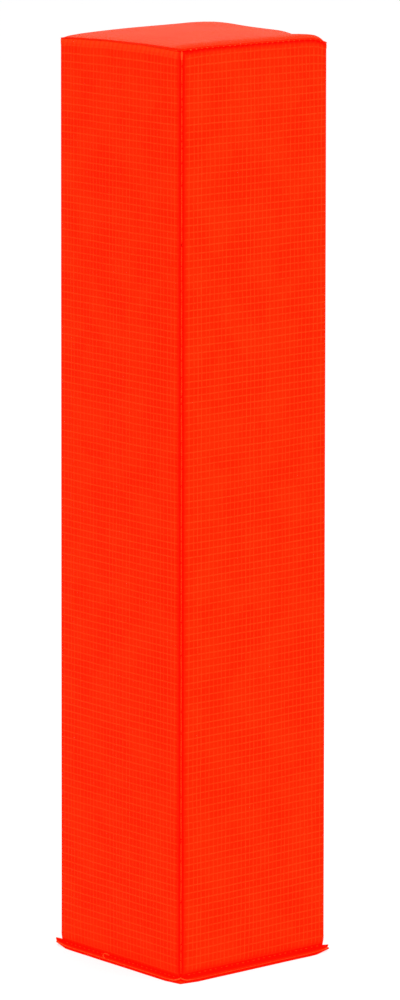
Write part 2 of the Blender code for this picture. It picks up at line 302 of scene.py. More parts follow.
def scrim(graph, place, across, up):
    """Shares of weft and warp thread under the coating, from 0 to 1."""
    stretch = graph.maths("EXPONENT", up * (-1 / WEFT_STRETCH_LENGTH)) * WEFT_STRETCH
    wave = graph.drift(place, 0.03, 1.0, 0.7)
    ripple = graph.drift(graph.vector(across * 0.5, up), 0.5, 2.0, 0.22)
    phase = (up + stretch + (wave + ripple)) * (1 / WEFT_PITCH)
    weft, row = threads(graph, phase, WEFT_PITCH, 0.52, 0.04, 3.0)
    strength = graph.chance(row, 11.0) * 0.25 + 0.75
    patchy = graph.fade(graph.noise(graph.vector(across * 0.7, up), 1.3, 3.0), 0.3, 0.62, 0.42, 1.0)
    weft = weft * strength * patchy

    lean = graph.drift(graph.vector(across, up * 0.3), 0.06, 2.0, 1.6)
    warp, column = threads(graph, (across + lean) * (1 / WARP_PITCH), WARP_PITCH, 0.46, 0.09, 5.0)
    strength = graph.chance(column, 17.0) * 0.4 + 0.6
    broken = graph.fade(graph.noise(graph.vector(across, up * 0.4), 0.7, 3.0), 0.3, 0.62, 0.45, 1.0)
    return weft, warp * strength * broken


class Vinyl(Graph):
    """Coated scrim: glossy threads stand up under a thin coat, with soft dents and a dulled film between."""

    def __init__(self, name, deep, plain, thread):
        super().__init__(name)
        self.across, self.up = cloth_place(self)
        self.place = self.vector(self.across, self.up)
        weft, warp = scrim(self, self.place, self.across, self.up)
        # Where weft and warp cross, the colour is lightened further, a painted highlight, and the bump raised
        threads_here = self.most(weft * WEFT_SHARE, warp * WARP_SHARE) + weft * warp * CROSSING
        blotch = self.fade(self.noise(self.place, 0.05, 4.0), 0.35, 0.65)
        grain = self.noise(self.place, 1.1, 4.0, 0.7)
        self.colour = self.blend(threads_here, self.blend(blotch, deep, plain), thread)
        self.tint(self.fade(grain, 0.5, 0.72, 0.0, 0.55), deep)
        self.roughness = grain * 0.16 + self.fade(threads_here, 0.0, 1.0, 0.42, 0.32)
        self.height = threads_here + grain * 0.25 + self.noise(self.place, 0.18) * 1.2

    def tint(self, share, tone):
        self.colour = self.blend(share, self.colour, tone)

    def made(self, specular):
        self.bump(self.height, VINYL_RELIEF)
        return self.finish(self.colour, self.roughness, specular)


def side_vinyl(name, seam_start=0.4, seam_full=1.7, corners=(1.6, 1.6), foot_crease=3.1, pale=0.0):
    """A side's vinyl, with painted shade and a painted red glow in its creases, and puckered under its top
    seam.

    In millimetres: the top seam's painted shade starts and is full so far above the flat, those at the left
    and right corners start so far before the crease, and the foot's crease is so high. pale paints light on a
    band under the top.
    """
    vinyl = Vinyl(name, VINYL_DEEP, VINYL_PLAIN, VINYL_THREAD)
    flat_top = FLAT_TOP * MM_IN_METRE
    crease = (FLAT_HALF + SIDE_ROLL) * MM_IN_METRE
    # Painted shade, and the painted glow with it: masks for the corner creases, the foot's crease and flange,
    # and under the top seam
    left = vinyl.fade(vinyl.across, corners[0] - crease, -0.4 - crease)
    right = vinyl.fade(vinyl.across, crease - corners[1], crease + 0.4)
    foot = vinyl.fade(vinyl.up, foot_crease + 3.4, foot_crease) * vinyl.fade(vinyl.up, -0.3, 1.6, 0.55, 1.0)
    seam = vinyl.fade(vinyl.up, flat_top + seam_start, flat_top + seam_full)
    shade = vinyl.most(left, right, foot, seam)
    # Painted light: a band under the top seam lightened as if its roll caught the light
    if pale:
        vinyl.tint(vinyl.fade(vinyl.up, flat_top - 3.0, flat_top - 0.5, 0.0, pale), VINYL_THREAD)
    vinyl.tint(shade * 0.97, VINYL_SHADE)
    vinyl.glow(shade * PAINTED_GLOW_IN_CREASE)

    below = -vinyl.up + flat_top
    near = vinyl.maths("EXPONENT", abs(below) * (-1 / 2.6))
    turns = (vinyl.across + below * 0.45) * (2 * math.pi / (STITCH_PITCH * MM_IN_METRE))
    pucker = vinyl.maths("SINE", turns + vinyl.noise(vinyl.place, 0.12, 1.0) * 5.0)
    vinyl.height = vinyl.height + pucker * near * 1.6
    # Painted shade in the pucker folds under the top seam
    vinyl.tint(vinyl.fade(pucker, 0.0, 0.9) * vinyl.fade(below, 6.0, 2.0, 0.0, 0.35), VINYL_DEEP)
    return vinyl.made(SIDE_SPECULAR)


def base_vinyl():
    """The base's vinyl, with painted shade where its edge lies under the flange."""
    vinyl = Vinyl("scrim_vinyl_base", VINYL_DEEP, VINYL_PLAIN, VINYL_THREAD)
    body = HALF * MM_IN_METRE
    outside = vinyl.most(abs(vinyl.across), abs(vinyl.up))
    # Painted shade under the flange
    vinyl.tint(vinyl.fade(outside, body + 0.6, body + 1.6, 0.0, 0.8), VINYL_SHADE)
    return vinyl.made(SIDE_SPECULAR)


def top_vinyl():
    """The top's vinyl, painted light, with painted shade where it rolls into its left and front seams;
    rougher at the front.
    """
    vinyl = Vinyl("scrim_vinyl_top", LIT_TOP_DEEP, LIT_TOP_PLAIN, LIT_TOP_THREAD)
    flat_end = TOP_HALF * MM_IN_METRE
    seam = flat_end + TOP_ROLL * SEAM_TURN * MM_IN_METRE
    # Painted shade: the rims darken where the top rolls down and its sheen falls away, and the front seam's
    # crease darkens
    vinyl.tint(vinyl.fade(-vinyl.across, flat_end - 4.5, flat_end + 0.6, 0.0, 0.7), TOP_RIM_SHADE)
    front = vinyl.fade(-vinyl.up, flat_end - 13.0, flat_end - 1.5)
    vinyl.tint(front, TOP_RIM_SHADE)
    vinyl.tint(vinyl.fade(-vinyl.up, seam - 1.1, seam - 0.3, 0.0, 0.9), VINYL_SHADE)
    vinyl.roughness = vinyl.roughness + front * 0.35
    return vinyl.made(TOP_SPECULAR)


def fibre_material(name, deep, pale, scale=2600.0, detail=2.0, pale_from=0.65, relief=0.00006,
                   rough=(0.3, 0.7, 0.45, 0.6), specular=SIDE_SPECULAR, glow=PAINTED_GLOW_ON_EDGE):
    """Sewing thread with its twist, or the fibres of a cut edge, with a painted red glow of the given
    strength.
    """
    graph = Graph(name)
    fibre = graph.noise(graph.object_place(), scale, detail)
    colour = graph.blend(graph.fade(fibre, 0.35, pale_from), deep, pale)
    graph.bump(fibre, relief)
    if glow:
        graph.glow(glow)
    return graph.finish(colour, graph.fade(fibre, *rough), specular)


def cut_edge_material(name, plain, pale):
    """The raw edge of the cloth, paler where the knife went through the coat and the threads."""
    return fibre_material(name, plain, pale, 1400.0, 3.0, 0.7, 0.0001, (0.2, 0.8, 0.6, 0.8))


def bag_thread_material():
    """The waxed cotton thread of the bag's seam."""
    return fibre_material("bag_thread", (0.52, 0.45, 0.33), (0.78, 0.71, 0.58), 2200.0,
                          rough=(0.3, 0.7, 0.7, 0.85), specular=0.2, glow=0)


def foam_material():
    """Open-cell foam: pores of several sizes and a few tinted patches."""
    graph = Graph("open_cell_foam")
    place = graph.object_place()
    cells = graph.node("ShaderNodeTexVoronoi", {"Vector": place, "Scale": 900.0})
    pores = graph.fade(graph.out(cells, "Distance"), 0.05, 0.45)
    patches = graph.fade(graph.noise(place, 30.0, 3.0), 0.3, 0.7)
    fresh = graph.blend(patches, (0.82, 0.79, 0.68), (0.76, 0.72, 0.58))
    colour = graph.blend(pores, (0.42, 0.38, 0.28), fresh)
    graph.bump(pores + graph.noise(place, 260.0, 3.0), 0.0004)
    return graph.finish(colour, graph.fade(pores, 0.0, 1.0, 1.0, 0.88), 0.2)


def cotton_material():
    """Unbleached cotton sheeting, in plain weave with slubs."""
    graph = Graph("unbleached_cotton")
    across, up = cloth_place(graph)
    weft, row = threads(graph, up * (1 / COTTON_PITCH), COTTON_PITCH, 0.42, 0.06, 2.0)
    warp, column = threads(graph, across * (1 / COTTON_PITCH), COTTON_PITCH, 0.42, 0.06, 4.0)
    over = graph.maths("PINGPONG", row + column, 1.0)
    weave = weft * over + warp * (-over + 1.0)
    slub = graph.fade(graph.chance(row, 9.0), 0.8, 1.0)
    stain = graph.fade(graph.noise(graph.vector(across, up), 0.05, 3.0), 0.45, 0.8, 0.0, 0.3)
    colour = graph.blend(graph.fade(weave, 0.0, 0.9), (0.44, 0.37, 0.26), (0.66, 0.59, 0.46))
    colour = graph.blend(slub * 0.4, colour, (0.74, 0.66, 0.50))
    colour = graph.blend(stain, colour, (0.45, 0.37, 0.25))
    graph.bump(weave, 0.0002)
    return graph.finish(colour, graph.fade(weave, 0.0, 1.0, 0.97, 0.86), 0.15)


def sand_material():
    """Dry washed sand: pale and dark grains and a few coarse ones."""
    graph = Graph("dry_sand")
    place = graph.object_place()
    cells = graph.node("ShaderNodeTexVoronoi", {"Vector": place, "Scale": 1300.0})
    grains = graph.node("ShaderNodeSeparateColor", {0: graph.out(cells, "Color")})
    pale = graph.fade(graph.out(grains, 1), 0.86, 0.94)
    dark = graph.fade(graph.out(grains, 2), 0.92, 0.97)
    colour = graph.blend(graph.out(grains, 0), (0.30, 0.20, 0.11), (0.62, 0.50, 0.34))
    colour = graph.blend(pale, colour, (0.82, 0.76, 0.64))
    colour = graph.blend(dark, colour, (0.07, 0.055, 0.045))
    round_grain = graph.fade(graph.out(cells, "Distance"), 0.6, 0.05)
    graph.bump(round_grain + graph.noise(place, 200.0), 0.0006)
    return graph.finish(colour, graph.fade(pale, 0.0, 1.0, 0.92, 0.55), 0.3)


class Sheet:
    """Cloth while it is being made, each vertex with its place on the flat cloth."""

    def __init__(self):
        self.bm = bmesh.new()
        self.flat = self.bm.verts.layers.float_vector.new("flat")

    def vert(self, place, flat):
        made = self.bm.verts.new(place)
        made[self.flat] = (flat[0], flat[1], 0)
        return made

    def strip(self, first, second, closed=False):
        """Quads between two rows of as many vertices."""
        join_rows(self.bm, first, second, closed)

    def field(self, across, ups, height):
        """Rows of vertices at these heights, with the faces between them."""
        rows = [[self.vert((x, up, height(x, up)), (x, up)) for x in across] for up in ups]
        join_all(self.bm, rows, closed=False)
        return rows

    def change(self, coarse, fine):
        """Faces between a row and another that divides each of its steps into as many parts."""
        parts = (len(fine) - 1) // (len(coarse) - 1)
        for k in range(len(coarse) - 1):
            finer = fine[k * parts:(k + 1) * parts + 1]
            self.bm.faces.new([coarse[k], coarse[k + 1], *reversed(finer)])

    def piece(self, name, node, held, rests_on, materials, slot="cover_fabric", thickness=VINYL, rim=1,
              facing=1, corner_cut=0):
        """The finished object, thickened inwards from the face that shows.

        corner_cut, a square missing from each corner of the cut cloth, only goes into an area that is not
        used.
        """
        bmesh.ops.recalc_face_normals(self.bm, faces=self.bm.faces)
        middle = min(self.bm.faces, key=lambda face: face.calc_center_median().xy.length)
        places = [vert[self.flat] for vert in self.bm.verts]
        width = max(place.x for place in places) - min(place.x for place in places)
        length = max(place.y for place in places) - min(place.y for place in places)
        if middle.normal.z * facing < 0:
            bmesh.ops.reverse_faces(self.bm, faces=self.bm.faces)
        layer = self.bm.loops.layers.uv.new("cloth")
        for face in self.bm.faces:
            for loop in face.loops:
                loop[layer].uv = loop.vert[self.flat].xy
        self.bm.verts.layers.float_vector.remove(self.flat)
        obj = mesh_object(name, self.bm, materials, node)
        solid = obj.modifiers.new("thickness", "SOLIDIFY")
        solid.thickness = thickness
        solid.offset = -1
        solid.use_quality_normals = True
        solid.material_offset_rim = rim
        area = width * length - 4 * corner_cut**2
        return obj


def join_rows(bm, first, second, closed=True):
    count = len(first)
    for k in range(count if closed else count - 1):
        after = (k + 1) % count
        bm.faces.new((first[k], first[after], second[after], second[k]))


def join_all(bm, rows, closed=True):
    for lower, upper in zip(rows, rows[1:]):
        join_rows(bm, lower, upper, closed)


def linked(name, data):
    """A new object with this data, in the scene."""
    obj = bpy.data.objects.new(name, data)
    bpy.context.scene.collection.objects.link(obj)
    return obj


def bare_object(name, bm):
    mesh = bpy.data.meshes.new(name)
    bm.to_mesh(mesh)
    bm.free()
    return linked(name, mesh)


def mesh_object(name, bm, materials, node=None, smooth=True):
    """A piece of the pylon, with these materials, in the place of a CAD node if it has one."""
    for face in bm.faces:
        face.smooth = smooth
    obj = bare_object(name, bm)
    for material in materials:
        obj.data.materials.append(material)
    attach(obj, "root")
    if node:
        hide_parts(node)
    return obj


def steps(start, end, count):
    return [start + (end - start) * k / count for k in range(count + 1)]


def clamp(share):
    return min(1, max(0, share))


def bell(apart, reach):
    """1 at no distance, falling smoothly to almost nothing at twice the reach."""
    return math.exp(-((apart / reach) ** 2))


def edge_start(roll, rise):
    """How far inside the edge of the body a panel's flat stops, for its edge to roll into the seam."""
    return roll * (1 + ROOT_TWO) - rise + PLY_GAP / ROOT_TWO


def dent(place, size, seed):
    """Smooth noise from -1 to 1 at a place, with features of about this size."""
    return noise.noise(Vector((place[0] / size, place[1] / size, seed * 7.3)))


FLAT_HALF = HALF - edge_start(SIDE_ROLL, 0)
FLAT_TOP = TOP_SEAM - edge_start(SIDE_ROLL, 0)
COLUMNS = steps(-FLAT_HALF, FLAT_HALF, FINE_COLUMNS)
COARSE = COLUMNS[::FINE_COLUMNS // COARSE_COLUMNS]

# The cloth simulation that fills the sides out
SWELL_COLUMNS = 20
SWELL_ROWS = 64
SWELL_FRAMES = 20
SWELL_PRESSURE = 4
SWELL_SLACK = 0.002
SWELL_MASS = 0.003
SWELL_QUALITY = 6
SWELL_START = (0.00015, 0.03)
SWELLS = {}


def swelling(seed):
    """The fullness of a side panel, from 0 to 1 over its grid, by a cloth simulation.

    The panel is held along its seams, cut a little slack, and pushed out by the foam behind it.
    """
    sheet = Sheet()
    depth, size = SWELL_START
    sheet.field(steps(-FLAT_HALF, FLAT_HALF, SWELL_COLUMNS), steps(WALL_FOOT, FLAT_TOP, SWELL_ROWS),
                lambda across, up: depth * dent((across, up), size, seed))
    obj = bare_object("swelling", sheet.bm)
    mesh = obj.data
    width = SWELL_COLUMNS + 1
    rim = [k for k in range(len(mesh.vertices))
           if k % width in (0, SWELL_COLUMNS) or k // width in (0, SWELL_ROWS)]
    obj.vertex_groups.new(name="seams").add(rim, 1.0, "REPLACE")
    cloth = obj.modifiers.new("cloth", "CLOTH")
    cloth.settings.vertex_group_mass = "seams"
    cloth.settings.mass = SWELL_MASS
    cloth.settings.quality = SWELL_QUALITY
    cloth.settings.shrink_min = -SWELL_SLACK
    cloth.settings.shrink_max = -SWELL_SLACK
    cloth.settings.use_pressure = True
    cloth.settings.uniform_pressure_force = SWELL_PRESSURE
    cloth.settings.effector_weights.gravity = 0
    cloth.collision_settings.use_collision = False
    for step in range(1, SWELL_FRAMES + 1):
        bpy.context.scene.frame_set(step)
    swollen = obj.evaluated_get(bpy.context.evaluated_depsgraph_get()).data
    heights = [vert.co.z for vert in swollen.vertices]
    bpy.data.objects.remove(obj)
    bpy.data.meshes.remove(mesh)
    bpy.context.scene.frame_set(1)
    most = max(heights)
    return [[round(max(0, height) / most, 3) for height in heights[row * width:(row + 1) * width]]
            for row in range(SWELL_ROWS + 1)]


def swell_share(across, up, seed):
    """The simulated fullness at a place on a panel, between its grid's points."""
    if seed not in SWELLS:
        SWELLS[seed] = swelling(seed)
    grid = SWELLS[seed]
    column = clamp((across + FLAT_HALF) / (2 * FLAT_HALF)) * SWELL_COLUMNS
    row = clamp((up - WALL_FOOT) / (FLAT_TOP - WALL_FOOT)) * SWELL_ROWS
    left = min(int(column), SWELL_COLUMNS - 1)
    below = min(int(row), SWELL_ROWS - 1)
    beside = column - left
    above = row - below
    low = grid[below][left] * (1 - beside) + grid[below][left + 1] * beside
    high = grid[below + 1][left] * (1 - beside) + grid[below + 1][left + 1] * beside
    return low * (1 - above) + high * above


def belly(across, up, seed):
    """How far the foam pushes a side panel out, with its soft dents, none at the edges."""
    middle = (FLAT_TOP + WALL_FOOT) / 2
    width_share = min(1, abs(across) / FLAT_HALF)
    height_share = min(1, abs(up - middle) / (FLAT_TOP - middle))
    hold = (1 - width_share**4) * (1 - height_share**40)
    full = swell_share(across, up, seed)
    soft = BROAD_DENTS[0] * dent((across, up), BROAD_DENTS[1], seed)
    soft += SMALL_DENTS[0] * dent((across, up), SMALL_DENTS[1], seed + 5)
    return BELLY * full + hold * soft


def side_path(left, top, right):
    """The panel's edge up its left side, along its top and down its right, with the way out at each."""
    path = [(vert, Vector((-1, 0, 0))) for vert in left]
    path.append((top[0], Vector((-1, 1, 0))))
    path += [(vert, Vector((0, 1, 0))) for vert in top[1:-1]]
    path.append((top[-1], Vector((1, 1, 0))))
    path += [(vert, Vector((1, 0, 0))) for vert in reversed(right)]
    return path


def closed_path(rows):
    """The whole edge of a square panel, as side_path gives it, and back along its first row."""
    path = side_path([row[0] for row in rows[:-1]], rows[-1], [row[-1] for row in rows[:-1]])
    path[0] = (path[0][0], Vector((-1, -1, 0)))
    path[-1] = (path[-1][0], Vector((1, -1, 0)))
    return path + [(vert, Vector((0, -1, 0))) for vert in reversed(rows[0][1:-1])]


CORNER_DRAW = 0.88
CORNER_DRAW_REACH = 0.003


def roll_edge(sheet, path, roll, count, closed=False):
    """Rolls a panel's edge round and down into the seam. The last strip of vertices is the seam line.

    The seam line is level, so where the panel's edge already lies low it rolls down less. A closed path's
    corners are drawn in.
    """
    full = roll * (1 - math.cos(SEAM_TURN))
    corners = [vert.co.xy for vert, way in path if way.x and way.y] if closed else []
    last = [vert for vert, way in path]
    strips = [last]
    for step in range(1, count + 1):
        angle = SEAM_TURN * step / count
        out = roll * math.sin(angle)
        share = roll * (1 - math.cos(angle)) / full
        loose = CORNER_DRAW * min(1, 2 * share)
        strip = []
        for vert, way in path:
            flat = vert[sheet.flat] + way * roll * angle
            level = vert.co.z + (-full - vert.co.z) * share
            near = [bell((vert.co.xy - corner).length, CORNER_DRAW_REACH) for corner in corners]
            place = vert.co.xy + way.xy * out * (1 - loose * max(near, default=0))
            strip.append(sheet.vert((place.x, place.y, level), flat))
        sheet.strip(last, strip, closed)
        strips.append(strip)
        last = strip
    return strips


FLAP_TRIM = 0.8
FLAP_TRIM_POINTS = 6


def flap(sheet, edge, way, trim_first=True, trim_last=True):
    """The seam allowance along one edge, turned in at 45 degrees and mitred at its ends."""
    inwards = (-way - Vector((0, 0, 1))) / ROOT_TWO
    along = (edge[-1].co - edge[0].co).normalized()
    last = edge
    for share in (0.5, 1.0):
        mitre = share * ALLOWANCE * FLAP_TRIM
        strip = []
        for k, vert in enumerate(edge):
            trim = 0
            if trim_first and k < FLAP_TRIM_POINTS:
                trim = max(0, mitre - (vert.co - edge[0].co).length)
            if trim_last and k >= len(edge) - FLAP_TRIM_POINTS:
                trim = -max(0, mitre - (vert.co - edge[-1].co).length)
            place = vert.co + inwards * ALLOWANCE * share + along * trim
            strip.append(sheet.vert(place, vert[sheet.flat] + way * ALLOWANCE * share))
        sheet.strip(last, strip)
        last = strip


# Side panels and the flange round their foot. The flange's corners are counted from the near one
SIDE_TURN_STEPS = 6
FOOT_BAND_STEPS = 6
TOP_BAND_STEPS = 9
FOOT_CREASE = FOOT_PROFILE[STITCH_ROW][1] * MM
FOOT_SINK = (0.0002, 0.0003, 0.0004, 0.0014)
EAR_LIFTS = (0.0016, 0.0020, 0.0015, 0.0024)
EAR_REACHES = (0.34, 0.75, 0.50, 0.95)
EAR_COLUMNS = 14
FLANGE_START = -0.001
FLANGE_WIDTH = 0.0029
FLANGE_LEAST = 0.0018
FLANGE_SLOPE = 0.24
FLANGE_WAVE = (0.00016, 0.011)
FAN_START = -0.0012
FAN_WIDTH = 0.0046


def end_share(k, count, width):
    """1 at the ends of a row of vertices, falling to 0 at so many from each."""
    return max(0, 1 - min(k, count - 1 - k) / width)


def side_panel(name, turn, seed, materials):
    """One side's cover, named after it. Turns count the sides from the front, and the right side is next."""
    sheet = Sheet()

    def shape(x, y):
        return belly(x, y, seed)

    wall_start = WALL_FOOT + FOOT_BAND
    wall_end = FLAT_TOP - TOP_BAND
    rows = sheet.field(COLUMNS, steps(WALL_FOOT, wall_start - BAND_STEP, FOOT_BAND_STEPS), shape)
    wall_steps = steps(wall_start, wall_end, round((wall_end - wall_start) / WALL_STEP))
    wall = sheet.field(COARSE, wall_steps, shape)
    crest = sheet.field(COLUMNS, steps(wall_end + BAND_STEP, FLAT_TOP, TOP_BAND_STEPS), shape)
    sheet.change(wall[0], rows[-1])
    sheet.change(wall[-1], crest[0])
    everything = rows + wall + crest
    left = [row[0] for row in everything[:-1]]
    right = [row[-1] for row in everything[:-1]]
    strips = roll_edge(sheet, side_path(left, crest[-1], right), SIDE_ROLL, SIDE_TURN_STEPS)
    seam = strips[-1]
    corner = len(left)
    far_corner = corner + FINE_COLUMNS
    flap(sheet, seam[:corner + 1], Vector((-1, 0, 0)), trim_first=False)
    flap(sheet, seam[corner:far_corner + 1], Vector((0, 1, 0)))
    flap(sheet, seam[far_corner:], Vector((1, 0, 0)), trim_last=False)

    foot = [strip[0] for strip in reversed(strips)] + rows[0][1:] + [strip[-1] for strip in strips[1:]]
    last = foot
    for reach, height in FOOT_PROFILE:
        strip = []
        for k, vert in enumerate(foot):
            strip.append(foot_vert(sheet, vert, k, len(foot), reach * MM, height * MM, seed, FOOT_SINK[turn]))
        sheet.strip(last, strip)
        last = strip
    obj = sheet.piece(f"{name}_cover", f"{name}_panel", "stretched", ["foam_core", "ballast_bag_lower"],
                      materials)
    angle = turn * math.pi / 2
    obj.location = (HALF * math.sin(angle), -HALF * math.cos(angle), 0)
    obj.rotation_euler = (math.pi / 2, 0, angle)
    return obj


def foot_vert(sheet, vert, k, count, reach, height, seed, sunk):
    """A vertex of the foot below one of the wall's: the flange fans out and meets its neighbour's."""
    fan = end_share(k, count, SIDE_TURN_STEPS)
    corner = (seed - 1 + (k > count / 2)) % 4
    lift = EAR_LIFTS[corner] * end_share(k, count, EAR_COLUMNS) ** 2
    height -= sunk * clamp((WALL_FOOT - height) / (WALL_FOOT - FOOT_CREASE))
    height = max(height, FLANGE_LEAST - FLANGE_SLOPE * reach)
    height += lift * clamp((reach - FLANGE_START) / FLANGE_WIDTH)
    out = max(reach, 0) * (1 - (1 - EAR_REACHES[corner]) * fan)
    x = vert.co.x
    depth = vert.co.z
    share = clamp((reach - FAN_START) / FAN_WIDTH)
    if fan and reach > FLANGE_START:
        mitre = HALF + out - PLY_GAP / 2
        fanned = math.copysign(FLAT_HALF + (mitre - FLAT_HALF) * fan, x)
        x += (fanned - x) * share
        depth *= 1 - share
    wave = FLANGE_WAVE[0] * dent((x, 0), FLANGE_WAVE[1], seed + 3) * share
    flat = (vert[sheet.flat][0], height - out)
    pinch = min(reach, 0) * (1 - fan)
    return sheet.vert((x, height + wave, depth + pinch + out), flat)


def side_panels(vinyls, cut_edge):
    names = ("front", "right", "back", "left")
    return [side_panel(name, turn, turn + 1, [vinyls[turn], cut_edge]) for turn, name in enumerate(names)]


# Top panel. Corners are (place in half widths, drop) pairs, and bumps are (place, rise, reach)
TOP_HALF = HALF - edge_start(TOP_ROLL, TOP_RISE)
TOP_COLUMNS = 46
TOP_TURN_STEPS = 8
TOP_EDGE_COLUMNS = (0, 0.0005, 0.0011, 0.0019, 0.0030, 0.0044)
TOP_EDGE_BAND = 0.0062
TOP_WRINKLES = (0.00025, 0.02)
TOP_CORNERS = (((-1, 1), 0.0003), ((1, -1), 0.0003), ((-1, -1), 0.0004), ((1, 1), -0.0010))
TOP_CORNER_REACH = 0.035
TOP_EDGE_DROP = 0.0020
TOP_EDGE_REACH = 0.0044
FAR_EDGE_SHARE = 0.12
TOP_DROP_MOST = 0.0019
FRONT_EDGE_DROP = 0.0012
FRONT_EDGE_REACH = 0.0045
TOP_BUMPS = (
    ((0.041, -0.036), 0.0005, 0.007),
    ((0.044, 0.030), 0.0006, 0.014),
)


def top_shape(x, y):
    """How far the top stands above its rolled edges' plane: crown, pulled-down corners and soft wrinkles."""
    hold = max(0, 1 - (x / TOP_HALF) ** 2) * max(0, 1 - (y / TOP_HALF) ** 2)
    height = TOP_CROWN * hold + hold * TOP_WRINKLES[0] * dent((x, y), TOP_WRINKLES[1], 21)
    for centre, drop in TOP_CORNERS:
        apart = (Vector((x, y)) - Vector(centre) * TOP_HALF).length
        height -= drop * math.exp(-apart / TOP_CORNER_REACH)
    far_edge = min(TOP_HALF - x, TOP_HALF - y)
    height -= TOP_EDGE_DROP * math.exp(-(TOP_HALF + x) / TOP_EDGE_REACH)
    height -= FRONT_EDGE_DROP * math.exp(-(TOP_HALF + y) / FRONT_EDGE_REACH)
    height -= FAR_EDGE_SHARE * TOP_EDGE_DROP * math.exp(-far_edge / TOP_EDGE_REACH)
    for centre, rise, reach in TOP_BUMPS:
        height += rise * bell((Vector((x, y)) - Vector(centre)).length, reach)
    return max(height, -TOP_DROP_MOST)


def top_cover(materials):
    sheet = Sheet()
    middle = TOP_HALF - TOP_EDGE_BAND
    across = [-TOP_HALF + inside for inside in TOP_EDGE_COLUMNS]
    across += steps(-middle, middle, TOP_COLUMNS - 2 * len(TOP_EDGE_COLUMNS))
    across += [TOP_HALF - inside for inside in reversed(TOP_EDGE_COLUMNS)]
    rows = sheet.field(across, across, top_shape)
    strips = roll_edge(sheet, closed_path(rows), TOP_ROLL, TOP_TURN_STEPS, closed=True)
    seam = strips[-1] + strips[-1][:1]
    ways = (Vector((-1, 0, 0)), Vector((0, 1, 0)), Vector((1, 0, 0)), Vector((0, -1, 0)))
    for side, way in enumerate(ways):
        flap(sheet, seam[side * TOP_COLUMNS:(side + 1) * TOP_COLUMNS + 1], way)
    obj = sheet.piece("top_cover", "top_panel", "stretched", ["foam_core"], materials)
    obj.location = (0, 0, TOP_PLANE)
    return obj


# Base panel, turned up a little at the corners of the foot
BASE_LIFTS = (((-1, -1), 0.0), ((1, -1), 0.0014), ((1, 1), 0.0007), ((-1, 1), 0.0016))
BASE_LIFT_REACH = 0.013
BASE_LIFT_START = 0.0008
BASE_CORNER_REACH = 0.34
BASE_WAVE = (0.0001, 0.013)
BASE_COLUMNS = 40


def base_ear(x, y):
    """How far the base's edge turns up near the corners of the foot."""
    lift = 0
    for corner, most in BASE_LIFTS:
        apart = (Vector((x, y)) / HALF - Vector(corner)).length * HALF
        lift += most * max(0, 1 - apart / BASE_LIFT_REACH) ** 2
    return lift


def base_cover(materials):
    sheet = Sheet()
    across = steps(BASE_INSET - HALF, HALF - BASE_INSET, BASE_COLUMNS)
    path = closed_path(sheet.field(across, across, lambda x, y: 0))
    last = [vert for vert, way in path]
    for reach, height in LOWER_PROFILE[1:]:
        strip = []
        for vert, way in path:
            here = reach * MM
            if way.x and way.y and here > 0:
                here *= BASE_CORNER_REACH
            out = way * (BASE_INSET + here)
            wave = BASE_WAVE[0] * dent((vert.co.x, vert.co.y), BASE_WAVE[1], 31) if reach > 0 else 0
            level = max(height * MM + wave, 0)
            if here > 0:
                edge = vert.co + out
                level += base_ear(edge.x, -edge.y) * min(1, here / BASE_LIFT_START)
            strip.append(sheet.vert(vert.co + out - Vector((0, 0, level)), vert[sheet.flat] + out))
        sheet.strip(last, strip, closed=True)
        last = strip
    obj = sheet.piece("base_cover", "base_panel", "laid", ["left_panel"], materials)
    obj.rotation_euler = (math.pi, 0, 0)
    return obj


def tube(bm, points, radii, sides=6):
    """A thin tube along points, with a radius at each, closed at its ends."""
    rings = []
    for k, point in enumerate(points):
        before = points[max(k - 1, 0)]
        after = points[min(k + 1, len(points) - 1)]
        turn = (after - before).normalized().to_track_quat("Z", "Y").to_matrix()
        ring = []
        for side in range(sides):
            angle = 2 * math.pi * side / sides
            around = Vector((math.cos(angle) * radii[k], math.sin(angle) * radii[k], 0))
            ring.append(bm.verts.new(point + turn @ around))
        rings.append(ring)
    join_all(bm, rings)
    bm.faces.new(list(reversed(rings[0])))
    bm.faces.new(rings[-1])


# Places along a stitch or a tack, from its middle or its end, with its thickness there
STITCH_SHAPE = ((-1, 0.35), (-0.72, 0.85), (0, 1.0), (0.72, 0.85), (1, 0.35))
TACK_SHAPE = ((-0.25, 0.5), (0, 0.8), (0.3, 1.0), (0.6, 0.95), (0.85, 0.7), (1, 0.3))
TACK_LENGTH = 0.0036
TACK_RADIUS = 0.00055
STITCH_LIFT = 0.00006


def seam_thread(name, start, end, outwards, materials, seed, core=THREAD_RADIUS,
                stitch=(STITCH_LENGTH, STITCH_RADIUS)):
    """A row of stitches, of the last material, on the thread that joins them in a seam's crease."""
    chance = random.Random(seed)
    bm = bmesh.new()
    along = (end - start).normalized()
    aside = along.cross(outwards).normalized()
    length = (end - start).length
    count = round(length / STITCH_PITCH)
    pitch = length / count

    def drift(k):
        return aside * (THREAD_WOBBLE * noise.noise(Vector((k * 0.21, seed * 3.1, 0))))

    line = []
    for k in range(2 * count + 1):
        line.append(start + along * pitch * k / 2 + drift(k) - outwards * STITCH_RADIUS * 0.6)
    tube(bm, line, [core] * len(line))
    core_faces = len(bm.faces)
    for k in range(count):
        middle = start + along * pitch * (k + 0.5 + chance.uniform(-0.06, 0.06))
        lean = (along + aside * chance.uniform(-0.05, 0.14)).normalized()
        middle += drift(2 * k + 1) + outwards * chance.uniform(-STITCH_LIFT, STITCH_LIFT)
        half = stitch[0] / 2 * chance.uniform(0.82, 1.05)
        places = [middle + lean * half * share - outwards * stitch[1] * 1.1 * share**4
                  for share, size in STITCH_SHAPE]
        tube(bm, places, [stitch[1] * size for share, size in STITCH_SHAPE])
    for face in list(bm.faces)[core_faces:]:
        face.material_index = len(materials) - 1
    return mesh_object(name, bm, materials)


